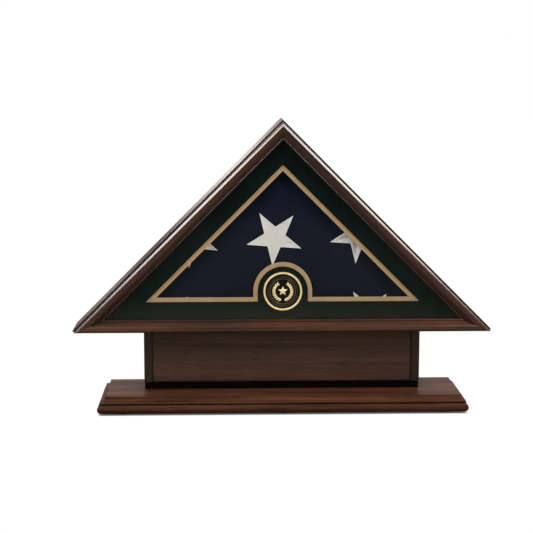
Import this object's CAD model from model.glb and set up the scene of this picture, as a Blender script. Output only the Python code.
"""Looks of a display case for a folded flag: its finishes, the flag, its stars and the medallion.

Metres, in the CAD's frame: +Z is up, and the front faces -Y.
"""

import math
import random

import bmesh
import bpy
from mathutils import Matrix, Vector, noise


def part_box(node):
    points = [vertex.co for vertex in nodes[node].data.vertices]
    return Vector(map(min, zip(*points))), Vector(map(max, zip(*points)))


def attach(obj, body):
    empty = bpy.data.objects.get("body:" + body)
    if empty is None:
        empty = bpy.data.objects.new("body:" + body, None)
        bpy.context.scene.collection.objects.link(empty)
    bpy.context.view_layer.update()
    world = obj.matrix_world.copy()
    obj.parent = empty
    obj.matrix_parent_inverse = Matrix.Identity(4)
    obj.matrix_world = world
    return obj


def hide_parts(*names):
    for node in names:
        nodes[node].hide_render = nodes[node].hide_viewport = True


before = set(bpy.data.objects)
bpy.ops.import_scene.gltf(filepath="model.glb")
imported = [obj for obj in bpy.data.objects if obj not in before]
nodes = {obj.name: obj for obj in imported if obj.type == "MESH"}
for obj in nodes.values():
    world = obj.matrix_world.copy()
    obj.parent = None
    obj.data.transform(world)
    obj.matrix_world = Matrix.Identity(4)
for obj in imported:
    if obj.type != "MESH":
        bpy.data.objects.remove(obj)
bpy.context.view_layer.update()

MM = 0.001
ROOT2 = math.sqrt(2)


# ---- Camera, light and floor ----


def make_camera():
    """A camera that looks slightly down on the front."""
    azimuth = math.radians(-1.65)
    elevation = math.radians(8.39)
    distance = 2.264
    target = Vector((-0.0255, 0, 0.2318))
    level = math.cos(elevation)
    back = Vector((math.sin(azimuth) * level, -math.cos(azimuth) * level, math.sin(elevation)))
    data = bpy.data.cameras.new("camera")
    data.sensor_width = 36
    data.lens = 92.85
    camera = bpy.data.objects.new("camera", data)
    bpy.context.scene.collection.objects.link(camera)
    camera.location = target + back * distance
    camera.rotation_mode = "QUATERNION"
    camera.rotation_quaternion = (-back).to_track_quat("-Z", "Y")
    bpy.context.scene.camera = camera


def soft_box(name, place, aim, width, height, watts, colour, mirrored=True):
    """A rectangular light that faces a point. Unless it is mirrored, shiny surfaces don't reflect it."""
    data = bpy.data.lights.new(name, "AREA")
    data.shape = "RECTANGLE"
    data.size = width
    data.size_y = height
    data.energy = watts
    data.color = colour
    lamp = bpy.data.objects.new(name, data)
    bpy.context.scene.collection.objects.link(lamp)
    lamp.location = place
    lamp.visible_glossy = mirrored
    lamp.visible_camera = False
    lamp.rotation_mode = "QUATERNION"
    lamp.rotation_quaternion = (Vector(aim) - Vector(place)).to_track_quat("-Z", "Y")


def make_lights():
    """Long boxes beside and over the case, dim ones behind it for reflections, and a fill in front."""
    soft_box("left_box", (-1.4, -0.45, 1.45), (-0.1, 0, 0.45), 2.4, 0.6, 72, (1, 0.95, 0.89))
    soft_box("right_box", (1.4, -0.45, 1.45), (0.1, 0, 0.45), 2.4, 0.6, 68, (1, 0.91, 0.84))
    soft_box("top_box", (0, 1.0, 1.8), (0, 0.1, 0.2), 1.8, 1.2, 34, (1, 0.9, 0.84))
    soft_box("back_top_box", (0, 2, 0.9), (0, 0, 0.9), 2.4, 0.5, 1.6, (1, 0.93, 0.9))
    for side, label in ((-1, "left"), (1, "right")):
        near = side * 0.42
        far = side * 0.95
        soft_box(f"back_{label}_box", (near, 2, 0.52), (near, 0, 0.52), 0.5, 0.3, 0.65, (1, 0.9, 0.86))
        soft_box(f"low_{label}_box", (far, 2, 0.2), (far, 0, 0.2), 0.7, 0.4, 0.35, (1, 0.86, 0.8))
    soft_box("front_fill", (0.3, -2.6, 1.1), (0, 0, 0.25), 1.6, 1.0, 30, (1, 0.98, 0.95), mirrored=False)
    soft_box("back_box", (0, 1.8, 1.4), (0, 0, 0.25), 1.6, 1.0, 10, (1, 0.95, 0.9))


class Tree:
    """A node tree that is built with one call for each node."""

    def __init__(self, owner):
        owner.use_nodes = True
        self.tree = owner.node_tree
        self.tree.nodes.clear()

    def add(self, kind, inputs, out=0, **settings):
        """A new node's output. Each of its inputs is a value or another node's output."""
        node = self.tree.nodes.new("ShaderNode" + kind)
        for key, value in settings.items():
            setattr(node, key, value)
        for key, value in inputs.items():
            if isinstance(value, bpy.types.NodeSocket):
                self.tree.links.new(value, node.inputs[key])
            else:
                node.inputs[key].default_value = value
        return node.outputs[out] if len(node.outputs) else node

    def source(self, kind, output):
        """The output of a node that needs no inputs."""
        return self.tree.nodes.new("ShaderNode" + kind).outputs[output]

    def placed(self, turn=0.0, shift=(0, 0, 0)):
        """The object's own coordinates, turned about Y and shifted."""
        place = self.source("TexCoord", "Object")
        return self.add("Mapping", {"Vector": place, "Rotation": (0, turn, 0), "Location": shift})

    def stretched(self, vector, scale):
        return self.add("Mapping", {"Vector": vector, "Scale": scale})

    def clouds(self, vector, scale, detail=3.0, rough=0.5, twist=0.0):
        inputs = {
            "Vector": vector,
            "Scale": scale,
            "Detail": detail,
            "Roughness": rough,
            "Distortion": twist,
        }
        return self.add("TexNoise", inputs)

    def waves(self, vector, direction, scale, twist, detail_scale):
        """Parallel bands across X or Z."""
        inputs = {"Vector": vector, "Scale": scale, "Distortion": twist, "Detail Scale": detail_scale}
        return self.add("TexWave", inputs, bands_direction=direction)

    def mapped(self, value, low, high, to_low, to_high):
        inputs = {"Value": value, "From Min": low, "From Max": high, "To Min": to_low, "To Max": to_high}
        return self.add("MapRange", inputs)

    def math(self, operation, a, b):
        node = self.tree.nodes.new("ShaderNodeMath")
        node.operation = operation
        for socket, value in zip(node.inputs, (a, b)):
            if isinstance(value, bpy.types.NodeSocket):
                self.tree.links.new(value, socket)
            else:
                socket.default_value = value
        return node.outputs[0]

    def ramp(self, value, stops):
        """A colour for each value, from pairs of a place on the ramp and its colour."""
        node = self.tree.nodes.new("ShaderNodeValToRGB")
        self.tree.links.new(value, node.inputs["Fac"])
        elements = node.color_ramp.elements
        elements[0].position, elements[0].color = stops[0][0], (*stops[0][1], 1)
        elements[1].position, elements[1].color = stops[-1][0], (*stops[-1][1], 1)
        for position, colour in stops[1:-1]:
            elements.new(position).color = (*colour, 1)
        return node.outputs["Color"]

    def blend(self, kind, share, a, b):
        return self.add("MixRGB", {"Fac": share, "Color1": a, "Color2": b}, blend_type=kind)

    def shade(self, colour, value):
        """A colour made darker or lighter by a grey value."""
        return self.blend("MULTIPLY", 1.0, colour, value)

    def bump(self, height, depth):
        return self.add("Bump", {"Height": height, "Distance": depth, "Strength": 1.0})

    def crevices(self, reach, dark):
        """A grey value that falls to dark in creases and quirks, where the finish gathers."""
        closed = 0.3
        fully_open = 0.85
        return self.mapped(self.occlusion(reach, 8), closed, fully_open, dark, 1.0)

    def mixed(self, share, first, second):
        """Two shaders mixed: a share of 0 gives the first, and 1 the second."""
        node = self.tree.nodes.new("ShaderNodeMixShader")
        for socket, value in zip(node.inputs, (share, first, second)):
            self.tree.links.new(value, socket)
        return node.outputs[0]

    def occlusion(self, reach, samples):
        """How open a place is: 1 in the open, and 0 where something is close all round it."""
        node = self.tree.nodes.new("ShaderNodeAmbientOcclusion")
        node.samples = samples
        node.inputs["Distance"].default_value = reach
        return node.outputs["AO"]

    def by_ray(self, seen, room):
        """A shader that the camera sees as one thing, and that lights the room as another."""
        return self.mixed(self.source("LightPath", "Is Camera Ray"), room, seen)

    def finish(self, shader, kind="OutputMaterial"):
        self.add(kind, {"Surface": shader})

    def surface(self, **inputs):
        """The tree's Principled shader, with its sockets named in words joined by underscores."""
        named = {key.replace("_", " "): value for key, value in inputs.items()}
        self.finish(self.add("BsdfPrincipled", named))


def material(name):
    made = bpy.data.materials.new(name)
    return made, Tree(made)


def make_world():
    """The camera sees white. The object is lit by a dim warm room."""
    world = bpy.data.worlds.new("studio")
    bpy.context.scene.world = world
    tree = Tree(world)
    seen = tree.add("Background", {"Color": (1, 1, 1, 1), "Strength": 1.0})
    room = tree.add("Background", {"Color": (1.0, 0.9, 0.82, 1), "Strength": 0.06})
    tree.finish(tree.by_ray(seen, room), "OutputWorld")


def make_floor():
    """A white floor with a soft contact shadow, as the camera sees it.

    Other rays meet a dark floor with a paler pool in front of the case, which lights its lower edges.
    """
    mesh = bpy.data.meshes.new("floor")
    side = 12
    corners = [(-side, -side, 0), (side, -side, 0), (side, side, 0), (-side, side, 0)]
    mesh.from_pydata(corners, [], [(0, 1, 2, 3)])
    floor = bpy.data.objects.new("floor", mesh)
    bpy.context.scene.collection.objects.link(floor)
    made, tree = material("floor")
    shadow_reach = 6 * MM
    greys = ((0.0, 0.0), (0.4, 0.25), (0.75, 0.95), (0.9, 1.0))
    stops = [(openness, (grey, grey, grey)) for openness, grey in greys]
    shadow = tree.ramp(tree.occlusion(shadow_reach, 16), stops)
    seen = tree.add("Emission", {"Color": shadow, "Strength": 1.02})
    pool_forward = 0.5
    pool_edge = (0.3, 0.7)
    pale = (0.22, 0.19, 0.16)
    dark = (0.045, 0.04, 0.036)
    from_pool = tree.placed(shift=(0, pool_forward, 0))
    away = tree.add("VectorMath", {"Vector": from_pool}, operation="LENGTH", out="Value")
    bounce = tree.ramp(tree.mapped(away, *pool_edge, 0.0, 1.0), [(0.0, pale), (1.0, dark)])
    room = tree.add("BsdfDiffuse", {"Color": bounce})
    tree.finish(tree.by_ray(seen, room))
    mesh.materials.append(made)


# ---- Finishes ----


def wood(name, tones, turn=0.0, shift=0.0, rough=0.38, coat=1.0, coat_rough=0.22, dark=0.12, shine=0.25):
    """Stained and lacquered wood, with its grain along X once its coordinates are turned about Y.

    The shift gives each board a grain of its own.
    """
    made, tree = material(name)
    board = tree.placed(turn, (shift, shift * 0.7, shift * 1.3))
    figure = tree.clouds(tree.stretched(board, (1.6, 26, 26)), 1.0, 5.0, 0.6, 1.2)
    rings = tree.clouds(tree.stretched(board, (4.0, 150, 150)), 1.0, 4.0, 0.6, 0.8)
    fibre = tree.clouds(tree.stretched(board, (28, 1100, 1100)), 1.0, 3.0, 0.6, 0.2)
    pores = tree.clouds(tree.stretched(board, (45, 750, 750)), 1.0, 2.0, 0.5, 0.0)
    mottle = tree.clouds(board, 9.0, 2.0, 0.5, 0.4)
    grain = tree.math("ADD", tree.math("MULTIPLY", figure, 0.62), tree.math("MULTIPLY", rings, 0.38))
    colour = tree.ramp(grain, [(0.36, tones[0]), (0.5, tones[1]), (0.64, tones[2])])
    colour = tree.shade(colour, tree.mapped(fibre, 0.3, 0.7, 0.82, 1.14))
    colour = tree.shade(colour, tree.mapped(mottle, 0.3, 0.7, 0.86, 1.14))
    open_pores = tree.mapped(pores, 0.62, 0.7, 1.0, 0.45)
    colour = tree.shade(colour, open_pores)
    colour = tree.shade(colour, tree.crevices(5 * MM, dark))
    relief = tree.bump(tree.math("ADD", tree.math("MULTIPLY", fibre, 0.3), open_pores), 0.002 * MM)
    tree.surface(
        Base_Color=colour,
        Roughness=tree.mapped(grain, 0.35, 0.65, rough + 0.08, rough - 0.06),
        Specular_IOR_Level=shine,
        Normal=relief,
        Coat_Weight=coat,
        Coat_Roughness=coat_rough,
        Coat_IOR=1.5,
    )
    return made


def plain_wood(name, tones, turn=0.0):
    """Bare wood, for blocks, dowels and strips."""
    made, tree = material(name)
    board = tree.placed(turn)
    figure = tree.clouds(tree.stretched(board, (6, 130, 130)), 1.0, 4.0, 0.6, 0.8)
    fibre = tree.clouds(tree.stretched(board, (40, 1300, 1300)), 1.0, 3.0, 0.6, 0.0)
    colour = tree.ramp(figure, [(0.3, tones[0]), (0.7, tones[1])])
    colour = tree.shade(colour, tree.mapped(fibre, 0.3, 0.7, 0.8, 1.1))
    relief = tree.bump(fibre, 0.08 * MM)
    tree.surface(Base_Color=colour, Roughness=0.72, Specular_IOR_Level=0.3, Normal=relief)
    return made


def felt(name, tone, lighter):
    """Pressed wool: short matted fibres."""
    made, tree = material(name)
    place = tree.placed()
    fluff = tree.clouds(place, 900.0, 4.0, 0.7, 2.0)
    patches = tree.clouds(place, 35.0, 3.0, 0.6, 0.5)
    colour = tree.ramp(fluff, [(0.3, tone), (0.72, lighter)])
    colour = tree.shade(colour, tree.mapped(patches, 0.3, 0.7, 0.85, 1.12))
    tree.surface(
        Base_Color=colour,
        Roughness=0.95,
        Specular_IOR_Level=0.1,
        Sheen_Weight=0.35,
        Sheen_Roughness=0.5,
        Normal=tree.bump(fluff, 0.35 * MM),
    )
    return made


def mat_board(name, tone, lighter, rough, nap):
    """Mat board with a faint paper grain. Its nap makes it uneven in tone."""
    made, tree = material(name)
    place = tree.placed()
    grain = tree.clouds(place, 1400.0, 3.0, 0.6)
    patches = tree.clouds(place, 24.0, 3.0, 0.6, 0.8)
    colour = tree.ramp(grain, [(0.32, tone), (0.68, lighter)])
    colour = tree.shade(colour, tree.mapped(patches, 0.3, 0.7, 1 - nap, 1 + nap))
    tree.surface(
        Base_Color=colour,
        Roughness=rough,
        Specular_IOR_Level=0.08,
        Sheen_Weight=0.02,
        Sheen_Roughness=0.6,
        Normal=tree.bump(grain, 0.003 * MM),
    )
    return made


def metal(name, tone, darker, rough, metallic=1.0):
    """Metal with fine brushing and a little tarnish, which gathers in its corners."""
    made, tree = material(name)
    place = tree.placed()
    brushed = tree.clouds(tree.stretched(place, (60, 2600, 2600)), 1.0, 2.0, 0.5)
    tarnish = tree.clouds(place, 220.0, 4.0, 0.6, 0.6)
    colour = tree.ramp(tarnish, [(0.34, darker), (0.56, tone)])
    colour = tree.shade(colour, tree.crevices(0.9 * MM, 0.25))
    smeared = tree.mapped(brushed, 0.3, 0.7, -0.05, 0.05)
    dulled = tree.mapped(tarnish, 0.3, 0.7, rough + 0.1, rough)
    tree.surface(
        Base_Color=colour,
        Metallic=metallic,
        Roughness=tree.math("ADD", smeared, dulled),
        Normal=tree.bump(brushed, 0.01 * MM),
    )
    return made


def enamel(name, tone):
    """Dark glossy enamel, very slightly uneven."""
    made, tree = material(name)
    place = tree.placed()
    flow = tree.clouds(place, 120.0, 2.0, 0.5, 0.4)
    colour = tree.shade((*tone, 1), tree.mapped(flow, 0.3, 0.7, 0.7, 1.3))
    tree.surface(
        Base_Color=colour,
        Roughness=0.3,
        Specular_IOR_Level=0.15,
        Coat_Weight=0.25,
        Coat_Roughness=0.05,
        Normal=tree.bump(flow, 0.02 * MM),
    )
    return made


def glass(name):
    """Clear picture glass, which mirrors more at a slant. Both faces of the pane mirror alike."""
    made, tree = material(name)
    slant = tree.math("POWER", tree.source("LayerWeight", "Facing"), 5)
    face_on_share = 0.015
    share = tree.mapped(slant, 0.0, 1.0, face_on_share, 1.0)
    through = tree.add("BsdfTransparent", {"Color": (0.94, 0.945, 0.942, 1)})
    mirror = tree.add("BsdfGlossy", {"Color": (1, 1, 1, 1), "Roughness": 0.02})
    tree.finish(tree.mixed(share, through, mirror))
    return made


WEAVE_TURN = math.radians(40.2)
THREAD_SCALE = 430  # gives threads about 0.7 mm apart
STITCH_TURN = WEAVE_TURN + 0.5
STITCH_SCALE = 300


def woven(name, tone, lighter, rough, sheen):
    """Plain-woven cloth, with its threads along and across the flag."""
    made, tree = material(name)
    place = tree.placed(WEAVE_TURN)
    warp = tree.waves(place, "X", THREAD_SCALE, 0.6, 3.0)
    weft = tree.waves(place, "Z", THREAD_SCALE, 0.6, 3.0)
    threads = tree.blend("LIGHTEN", 1.0, warp, weft)
    patches = tree.clouds(place, 16.0, 4.0, 0.6, 0.6)
    slubs = tree.clouds(tree.stretched(place, (25, 25, 420)), 1.0, 3.0, 0.6)
    colour = tree.ramp(patches, [(0.3, tone), (0.7, lighter)])
    colour = tree.shade(colour, tree.mapped(slubs, 0.3, 0.7, 0.86, 1.12))
    colour = tree.shade(colour, tree.mapped(threads, 0.2, 1.0, 0.72, 1.1))
    tree.surface(
        Base_Color=colour,
        Roughness=rough,
        Specular_IOR_Level=0.1,
        Sheen_Weight=sheen,
        Sheen_Roughness=0.45,
        Normal=tree.bump(threads, 0.05 * MM),
    )
    return made


def stitched(name, tone, lighter, depth):
    """Satin stitching: close parallel threads."""
    made, tree = material(name)
    place = tree.placed(STITCH_TURN)
    thread = tree.waves(place, "X", STITCH_SCALE, 2.5, 6.0)
    tufts = tree.clouds(place, 330.0, 4.0, 0.65, 0.8)
    colour = tree.ramp(tufts, [(0.3, tone), (0.7, lighter)])
    colour = tree.shade(colour, tree.mapped(thread, 0.0, 1.0, 0.9, 1.04))
    tree.surface(
        Base_Color=colour,
        Roughness=0.6,
        Specular_IOR_Level=0.3,
        Sheen_Weight=0.15,
        Normal=tree.bump(tree.math("ADD", thread, tufts), depth),
    )
    return made


# Each wood's stain: the tones of its darkest, middle and lightest grain
RED_BROWN = ((0.0165, 0.0055, 0.0027), (0.047, 0.0168, 0.008), (0.084, 0.032, 0.015))
RAIL_BROWN = ((0.014, 0.0042, 0.0019), (0.04, 0.0125, 0.005), (0.072, 0.0245, 0.0098))
LEG_BROWN = ((0.006, 0.002, 0.001), (0.018, 0.0058, 0.0028), (0.034, 0.012, 0.0056))
PANEL_BROWN = ((0.028, 0.013, 0.009), (0.046, 0.0225, 0.0152), (0.063, 0.033, 0.0225))
SIDE_BROWN = ((0.008, 0.004, 0.0027), (0.015, 0.0075, 0.005), (0.022, 0.0115, 0.0075))
EBONY = ((0.0012, 0.0009, 0.0007), (0.002, 0.0014, 0.001), (0.003, 0.002, 0.0016))
PALE_WOOD = ((0.25, 0.14, 0.07), (0.42, 0.27, 0.15))
LEG_TURN = math.pi / 4


def dress_frame():
    """Gives each CAD node its finish."""
    upright = math.pi / 2
    panel = {"rough": 0.5, "coat": 0.4, "coat_rough": 0.25, "shine": 0.15}
    brass = metal("brass", (0.62, 0.43, 0.18), (0.34, 0.21, 0.08), 0.24)
    steel = metal("steel", (0.56, 0.56, 0.55), (0.34, 0.34, 0.34), 0.3)
    gold = metal("medal_gold", (1.0, 0.87, 0.52), (0.92, 0.72, 0.36), 0.24, metallic=0.1)
    pale = plain_wood("pale_wood", PALE_WOOD)
    black_felt = felt("felt_black", (0.004, 0.004, 0.0045), (0.02, 0.02, 0.021))
    finishes = {
        "base_plinth": wood("plinth_wood", RED_BROWN, 0, 3.1, rough=0.62, coat=0.1, shine=0.1),
        "felt_feet": black_felt,
        "pedestal_bottom_board": wood("ebonised_wood", EBONY, 0, 5.2, rough=0.8, coat=0.0, shine=0.02),
        "pedestal_left_end": wood("left_end_wood", SIDE_BROWN, upright, 1.4, coat=0.35),
        "pedestal_right_end": wood("right_end_wood", SIDE_BROWN, upright, 8.3, coat=0.35),
        "pedestal_front_panel": wood("panel_wood", PANEL_BROWN, 0, 2.7, **panel),
        "pedestal_back_panel": wood("back_panel_wood", PANEL_BROWN, 0, 6.5, **panel),
        "pedestal_top_board": pale,
        "pedestal_glue_blocks": pale,
        "plinth_screws": steel,
        "locating_dowels": pale,
        "case_left_board": wood("left_board_wood", LEG_BROWN, LEG_TURN, 4.4),
        "case_right_board": wood("right_board_wood", LEG_BROWN, -LEG_TURN, 7.9),
        "case_bottom_board": wood("bottom_board_wood", RED_BROWN, 0, 9.6),
        "front_rail_left": wood("left_rail_wood", LEG_BROWN, LEG_TURN, 0.3),
        "front_rail_right": wood("right_rail_wood", LEG_BROWN, -LEG_TURN, 2.2),
        "front_rail_bottom": wood("bottom_rail_wood", RAIL_BROWN, 0, 6.1),
        "glass_pane": glass("clear_glass"),
        "glass_spacers": felt("spacer_black", (0.008, 0.008, 0.008), (0.02, 0.02, 0.02)),
        "green_mat": mat_board("mat_green", (0.0008, 0.0046, 0.0038), (0.0026, 0.0095, 0.0078), 0.9, 0.2),
        "gold_undermat": mat_board("mat_gold", (0.35, 0.248, 0.133), (0.46, 0.34, 0.2), 0.6, 0.08),
        "medallion_rim": gold,
        "medallion_enamel": enamel("enamel_black", (0.0012, 0.0014, 0.0025)),
        "medallion_emblem": gold,
        "retainer_left": plain_wood("left_retainer_wood", PALE_WOOD, LEG_TURN),
        "retainer_right": plain_wood("right_retainer_wood", PALE_WOOD, -LEG_TURN),
        "retainer_bottom": pale,
        "tip_blocks": wood("tip_block_wood", RED_BROWN, 0, 15.3),
        "catch_block": pale,
        "catch_magnet": steel,
        "hinge_case_leaves": brass,
        "hinge_case_screws": brass,
        "hinge_pins": brass,
        "back_door_panel": wood("door_wood", RED_BROWN, 0, 12.5, rough=0.5, coat=0.6, coat_rough=0.22),
        "door_lining": felt("felt_green", (0.003, 0.012, 0.007), (0.011, 0.034, 0.021)),
        "hinge_door_leaves": brass,
        "hinge_door_screws": brass,
        "strike_plate": steel,
        "strike_screw": steel,
        "door_knob": brass,
        "knob_screw": steel,
    }
    for name, finish in finishes.items():
        nodes[name].data.materials.clear()
        nodes[name].data.materials.append(finish)


def round_edges(width, *names):
    """Rounds the boards' edges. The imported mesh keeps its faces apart, so they are welded first."""
    for name in names:
        mesh = nodes[name].data
        normals = mesh.attributes.get("custom_normal")
        if normals:
            mesh.attributes.remove(normals)
        mesh.shade_smooth()
        weld = nodes[name].modifiers.new("weld", "WELD")
        weld.merge_threshold = 0.002 * MM
        bevel = nodes[name].modifiers.new("bevel", "BEVEL")
        bevel.width = width
        bevel.segments = 2
        bevel.limit_method = "ANGLE"
        bevel.angle_limit = math.radians(30)
        bevel.harden_normals = True


# ---- The folded flag ----

FLAG_LOW, FLAG_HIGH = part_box("folded_flag")
RETAINER_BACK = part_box("retainer_bottom")[1].y
FLAG_FOOT = FLAG_LOW.z + 0.1 * MM
FLAG_HALF = FLAG_HIGH.x
FLAG_FRONT = RETAINER_BACK + 0.8 * MM  # the front of the flag's edges
FLAG_BACK = FLAG_HIGH.y - 2.6 * MM  # the back of the flag's edges
FRONT_CROWN = FLAG_FRONT - FLAG_LOW.y - 0.7 * MM  # how far the middle stands out in front of the edges
BACK_CROWN = 2.2 * MM
PLIES = 60


def smooth_step(value):
    value = min(max(value, 0.0), 1.0)
    return value * value * (3 - 2 * value)


def edge_distance(x, z):
    """About how far a point is from the flag's nearest edge, rounded off between the edges."""
    softness = 7 * MM
    room = FLAG_HALF - (z - FLAG_FOOT)
    distances = (z - FLAG_FOOT, (room - x) / ROOT2, (room + x) / ROOT2)
    return -softness * math.log(sum(math.exp(-d / softness) for d in distances))


def crease(x, z, angle, offset, width):
    """A soft ridge along a straight fold line."""
    across = (x * math.cos(angle) + (z - FLAG_FOOT) * math.sin(angle) - offset) / width
    return math.exp(-across * across)


def rumple(x, z):
    """How far the outer cloth stands up: slow swells, and the soft marks of the folds."""
    place = Vector((x, 0, z))
    swell = 0.55 * noise.noise(place * 11) + 0.28 * noise.noise(place * 27) + 0.12 * noise.noise(place * 60)
    ridge = 0.5 * crease(x, z, math.radians(45), 142 * MM, 7 * MM)
    valley = 0.45 * crease(x, z, math.radians(135), 86 * MM, 6 * MM)
    return (swell + (ridge - valley)) * MM


def flag_depth(x, z, share):
    """Where the cloth lies front to back: share is 0 at the front of the stack and 1 at its back."""
    inward = edge_distance(x, z)
    flat_edge = 6 * MM
    crown_rise = 62 * MM
    tight_edge = 18 * MM
    crown = smooth_step((inward - flat_edge) / crown_rise)
    front = FLAG_FRONT - FRONT_CROWN * crown
    back = FLAG_BACK + BACK_CROWN * crown
    outer = (1 - share) ** 8 - share ** 8
    loose = smooth_step(inward / tight_edge) * outer
    return front + (back - front) * share - rumple(x, z) * loose


def envelope(mesh, corners, shares, folded, steps):
    """Two plies of cloth over a triangle, joined by small round folds along the edges named in folded."""
    a, b, c = (Vector((x, 0, z)) for x, z in corners)
    sheets = []
    for share in shares:
        points = {}
        for i in range(steps + 1):
            for j in range(steps + 1 - i):
                place = a + (b - a) * (i / steps) + (c - a) * (j / steps)
                points[i, j] = mesh.verts.new((place.x, flag_depth(place.x, place.z, share), place.z))
        for i in range(steps):
            for j in range(steps - i):
                mesh.faces.new((points[i, j], points[i + 1, j], points[i, j + 1]))
                if i + j < steps - 1:
                    mesh.faces.new((points[i + 1, j], points[i + 1, j + 1], points[i, j + 1]))
        sheets.append(points)
    middle = (a + b + c) / 3
    edges = {
        "ab": (a, b, [(i, 0) for i in range(steps + 1)]),
        "bc": (b, c, [(steps - i, i) for i in range(steps + 1)]),
        "ca": (c, a, [(0, steps - i) for i in range(steps + 1)]),
    }
    turns = 4
    for key in folded:
        start, end, line = edges[key]
        out = (end - start).cross(Vector((0, 1, 0))).normalized()
        if out.dot(start - middle) < 0:
            out = -out
        last = None
        for at in line:
            front, back = sheets[0][at], sheets[1][at]
            centre = (front.co + back.co) / 2
            reach = (back.co - front.co) / 2
            arc = [front]
            for turn in range(1, turns):
                angle = math.pi * turn / turns
                bulge = out * reach.length * math.sin(angle)
                arc.append(mesh.verts.new(centre - reach * math.cos(angle) + bulge))
            arc.append(back)
            if last:
                for k in range(turns):
                    mesh.faces.new((last[k], arc[k], arc[k + 1], last[k + 1]))
            last = arc


def new_piece(name, mesh, *finishes):
    """An object made from a bmesh, with smooth shading and its finishes in order."""
    data = bpy.data.meshes.new(name)
    bmesh.ops.recalc_face_normals(mesh, faces=mesh.faces)
    mesh.to_mesh(data)
    mesh.free()
    data.shade_smooth()
    for finish in finishes:
        data.materials.append(finish)
    piece = bpy.data.objects.new(name, data)
    bpy.context.scene.collection.objects.link(piece)
    return piece


def make_flag():
    """Thirty folded envelopes make the flag's sixty plies, stacked front to back."""
    chance = random.Random(11)
    fine_steps = 120
    coarse_steps = 30
    mesh = bmesh.new()
    fold = 0.6 * MM
    for pair in range(PLIES // 2):
        outer = pair in (0, PLIES // 2 - 1)
        foot_in = fold + (0.1 if outer else chance.uniform(0.1, 0.9)) * MM
        leg_in = fold + (0.3 if outer else chance.uniform(0.2, 2.6)) * MM
        lean = 0 if outer else chance.uniform(-0.7, 0.7) * MM
        foot = FLAG_FOOT + foot_in
        half = FLAG_HALF - leg_in * ROOT2 - foot_in - abs(lean)
        corners = ((-half + lean, foot), (half + lean, foot), (lean, foot + half))
        shares = ((2 * pair + 0.5) / PLIES, (2 * pair + 1.5) / PLIES)
        steps = fine_steps if outer else coarse_steps
        envelope(mesh, corners, shares, ("ab", "ca" if pair % 2 else "bc"), steps)
    cloth = woven("flag_blue", (0.0042, 0.0066, 0.016), (0.0062, 0.0095, 0.0215), 0.85, 0.025)
    return new_piece("flag_cloth", mesh, cloth)


STAR_RADIUS = 47 * MM
STAR_TURN = math.radians(49.8)
STAR_NOTCH = 0.385
STAR_MIDDLE = Vector((-13.2 * MM, 0, 283 * MM))
STAR_ACROSS = Vector((135.8 * MM, 0, 3.3 * MM))
STAR_DOWN = Vector((17.7 * MM, 0, -132.8 * MM))


def star_points(turn, radius, notch, cuts):
    """Points round a five-pointed star, with each of its ten sides cut into equal parts."""
    corners = []
    for k in range(10):
        angle = turn + k * math.pi / 5
        length = radius if k % 2 == 0 else radius * notch
        corners.append(Vector((math.cos(angle) * length, 0, math.sin(angle) * length)))
    return [
        corners[k].lerp(corners[(k + 1) % 10], step / cuts)
        for k in range(10)
        for step in range(cuts)
    ]


# A star's rings from its middle out: the share of its radius, and the height off the flag in mm
STAR_TOP = 0.5
STAR_RINGS = (
    (0.3, STAR_TOP),
    (0.55, STAR_TOP),
    (0.75, STAR_TOP),
    (0.86, STAR_TOP),
    (0.9, 0.62),
    (0.94, 0.95),
    (0.975, 0.85),
    (1.0, 0.3),
)
STAR_UNDER = 0.12
BORDER_RING = 3  # the ring where the raised border starts


def add_star(mesh, centre, turn, share, side):
    """One stitched star, a thin closed solid on the flag. side is -1 on its front and 1 on its back."""
    outline = star_points(turn, STAR_RADIUS, STAR_NOTCH, 8)
    count = len(outline)

    def lifted(point, height):
        y = flag_depth(point.x, point.z, share) + side * height * MM
        return mesh.verts.new((point.x, y, point.z))

    rings = [[lifted(centre + p * reach, height) for p in outline] for reach, height in STAR_RINGS]
    under = [lifted(centre + p, STAR_UNDER) for p in outline]
    top = lifted(centre, STAR_TOP)
    for k in range(count):
        after = (k + 1) % count
        mesh.faces.new((top, rings[0][k], rings[0][after]))
        for ring, (inner, outer) in enumerate(zip(rings, rings[1:])):
            face = mesh.faces.new((inner[k], outer[k], outer[after], inner[after]))
            face.material_index = int(ring >= BORDER_RING)
        face = mesh.faces.new((rings[-1][k], under[k], under[after], rings[-1][after]))
        face.material_index = 1
    base = lifted(centre, STAR_UNDER)
    for k in range(count):
        mesh.faces.new((base, under[(k + 1) % count], under[k]))


def trim_to_flag(mesh):
    """Cuts off what would stand past the flag's edges, and closes the cuts."""
    keep_in = 1.6 * MM
    foot = FLAG_FOOT + keep_in
    half = FLAG_HALF - keep_in * (1 + ROOT2)
    sides = (((0, 0, foot), (0, 0, -1)), ((half, 0, foot), (1, 0, 1)), ((-half, 0, foot), (-1, 0, 1)))
    for place, outward in sides:
        everything = mesh.verts[:] + mesh.edges[:] + mesh.faces[:]
        plane = {"plane_co": place, "plane_no": outward}
        cut = bmesh.ops.bisect_plane(mesh, geom=everything, clear_outer=True, **plane)
        edges = [e for e in cut["geom_cut"] if isinstance(e, bmesh.types.BMEdge)]
        bmesh.ops.holes_fill(mesh, edges=edges)


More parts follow.
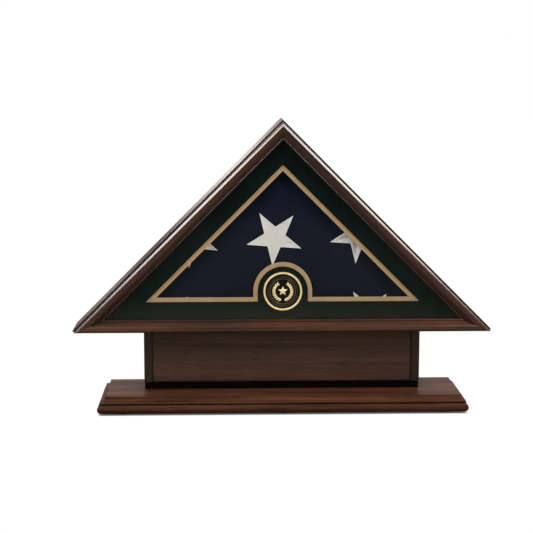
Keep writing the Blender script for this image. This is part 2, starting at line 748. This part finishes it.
def make_stars():
    """The stars on the flag's front and back, in the flag's slanting rows."""
    fill = stitched("star_fill", (0.555, 0.56, 0.555), (0.725, 0.735, 0.73), 0.12 * MM)
    border = stitched("star_border", (0.63, 0.635, 0.63), (0.74, 0.745, 0.74), 0.1 * MM)
    places = ((0, 0), (1, 0), (-1, 0), (1, 1), (-1, 1), (0, 1))
    made = []
    front_ply = 0.5 / PLIES
    back_ply = (PLIES - 0.5) / PLIES
    for name, share, side in (("stars_front", front_ply, -1), ("stars_back", back_ply, 1)):
        mesh = bmesh.new()
        for across, down in places:
            centre = STAR_MIDDLE + STAR_ACROSS * across + STAR_DOWN * down
            turn = STAR_TURN
            if side > 0:
                centre.x = -centre.x
                turn = math.pi - STAR_TURN
            add_star(mesh, centre, turn, share, side)
        trim_to_flag(mesh)
        made.append(new_piece(name, mesh, fill, border))
    return made


# ---- The medallion ----

MEDAL_LOW, MEDAL_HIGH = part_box("medallion_rim")
MEDAL_Z = (MEDAL_LOW.z + MEDAL_HIGH.z) / 2
ENAMEL_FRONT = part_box("medallion_enamel")[0].y


def on_medal(radius, angle, height):
    """A point on the medallion: its angle is from +X towards +Z, and its height is off the enamel."""
    return Vector((radius * math.cos(angle), ENAMEL_FRONT - height, MEDAL_Z + radius * math.sin(angle)))


# Cuts across a leaf from stem to tip: the share of its length and of its width, and the height in mm
LEAF_CUTS = ((0, 0.12, 0.3), (0.22, 0.75, 0.62), (0.5, 1.0, 0.78), (0.78, 0.66, 0.6), (1.0, 0.05, 0.25))
SUNK = 0.05 * MM  # how far the edges of the leaves and the star are sunk in the enamel


def add_leaf(mesh, stem, direction, length, width):
    """A laurel leaf with a raised midrib, lying on the enamel."""
    along = Vector((math.cos(direction), 0, math.sin(direction)))
    across = Vector((-along.z, 0, along.x))
    rib = []
    left = []
    right = []
    for share, spread, rise in LEAF_CUTS:
        middle = stem + along * (length * share)
        edge = across * (width / 2 * spread)
        rib.append(mesh.verts.new(middle - Vector((0, rise * MM, 0))))
        left.append(mesh.verts.new(middle + edge + Vector((0, SUNK, 0))))
        right.append(mesh.verts.new(middle - edge + Vector((0, SUNK, 0))))
    for k in range(len(LEAF_CUTS) - 1):
        mesh.faces.new((left[k], left[k + 1], rib[k + 1], rib[k]))
        mesh.faces.new((rib[k], rib[k + 1], right[k + 1], right[k]))
        mesh.faces.new((right[k], right[k + 1], left[k + 1], left[k]))
    mesh.faces.new((left[0], rib[0], right[0]))
    mesh.faces.new((right[-1], rib[-1], left[-1]))


def add_wreath(mesh):
    """Two laurel branches that rise from the foot of the medallion."""
    radius = 14.3 * MM
    pairs = 9
    first = 12
    apart = 15.8
    leaf_width = 2.4 * MM
    for side in (-1, 1):
        for k in range(pairs):
            angle = math.radians(-90 + side * (first + k * apart))
            heading = angle + side * math.pi / 2
            for lean, length in ((0.5, 5.4 * MM), (-0.5, 4.9 * MM)):
                add_leaf(mesh, on_medal(radius, angle, 0), heading - side * lean, length, leaf_width)
            add_bead(mesh, on_medal(radius + 0.1 * MM, angle, 0.1 * MM), 0.5 * MM)


def add_bead(mesh, centre, radius):
    """A small round bead."""
    made = bmesh.ops.create_icosphere(mesh, subdivisions=2, radius=radius)
    bmesh.ops.translate(mesh, verts=made["verts"], vec=centre)


def add_tube_ring(mesh, radius, thick, height, around, turns=0, twist=0.0):
    """A ring on the medallion. With turns it is a twisted rope."""
    loops = []
    section = 10
    for i in range(around):
        angle = 2 * math.pi * i / around
        loop = []
        for k in range(section):
            way = 2 * math.pi * k / section
            size = thick * (1 + twist * math.cos(2 * way - turns * angle))
            place = on_medal(radius + size * math.cos(way), angle, height + size * math.sin(way))
            loop.append(mesh.verts.new(place))
        loops.append(loop)
    for i, loop in enumerate(loops):
        after = loops[(i + 1) % around]
        for k in range(section):
            mesh.faces.new((loop[k], after[k], after[(k + 1) % section], loop[(k + 1) % section]))


def make_medallion():
    """A plain wreath and star, inside a ring of beads and a twisted rope."""
    mesh = bmesh.new()
    add_wreath(mesh)
    star_radius = 8.6 * MM
    star_notch = 0.42
    star_rise = 1.25 * MM
    star = star_points(math.pi / 2, star_radius, star_notch, 1)
    base = Vector((0, ENAMEL_FRONT + SUNK, MEDAL_Z + 0.6 * MM))
    rim = [mesh.verts.new(base + p) for p in star]
    peak = mesh.verts.new(base - Vector((0, star_rise, 0)))
    for k in range(len(rim)):
        mesh.faces.new((rim[k], rim[(k + 1) % len(rim)], peak))
    mesh.faces.new(rim)
    relief = new_piece("medallion_relief", mesh, nodes["medallion_rim"].data.materials[0])
    relief.data.set_sharp_from_angle(angle=math.radians(25))
    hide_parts("medallion_emblem")

    mesh = bmesh.new()
    bead_count = 56
    bead_ring = 24.2 * MM
    bead_radius = 0.55 * MM
    line_ring = 20.8 * MM
    line_thick = 0.28 * MM
    middle_height = 0.05 * MM
    for k in range(bead_count):
        add_bead(mesh, on_medal(bead_ring, 2 * math.pi * k / bead_count, middle_height), bead_radius)
    add_tube_ring(mesh, line_ring, line_thick, middle_height, 120)
    bead_gold = metal("bead_gold", (0.42, 0.33, 0.19), (0.16, 0.12, 0.07), 0.35, metallic=0.5)
    beads = new_piece("medallion_beads", mesh, bead_gold)

    mesh = bmesh.new()
    shoulder = MEDAL_HIGH.x - 0.38 * MM
    rope_thick = 0.33 * MM
    rope_height = 0.45 * MM
    add_tube_ring(mesh, shoulder, rope_thick, rope_height, 432, turns=72, twist=0.16)
    rope_gold = metal("rope_gold", (0.8, 0.6, 0.27), (0.4, 0.28, 0.11), 0.3, metallic=0.2)
    rope = new_piece("medallion_rope", mesh, rope_gold)
    for piece in (relief, beads, rope):
        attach(piece, "case")


# ---- Everything, in order ----

make_camera()
make_world()
make_floor()
make_lights()
bpy.context.scene.view_settings.view_transform = "Standard"

dress_frame()
round_edges(
    0.35 * MM,
    "front_rail_left",
    "front_rail_right",
    "front_rail_bottom",
)
round_edges(
    0.6 * MM,
    "base_plinth",
    "case_left_board",
    "case_right_board",
    "case_bottom_board",
    "pedestal_left_end",
    "pedestal_right_end",
    "pedestal_front_panel",
    "pedestal_back_panel",
    "back_door_panel",
)

flag = make_flag()
stars = make_stars()
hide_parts("folded_flag")
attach(flag, "case")
for piece in stars:
    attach(piece, "case")
make_medallion()
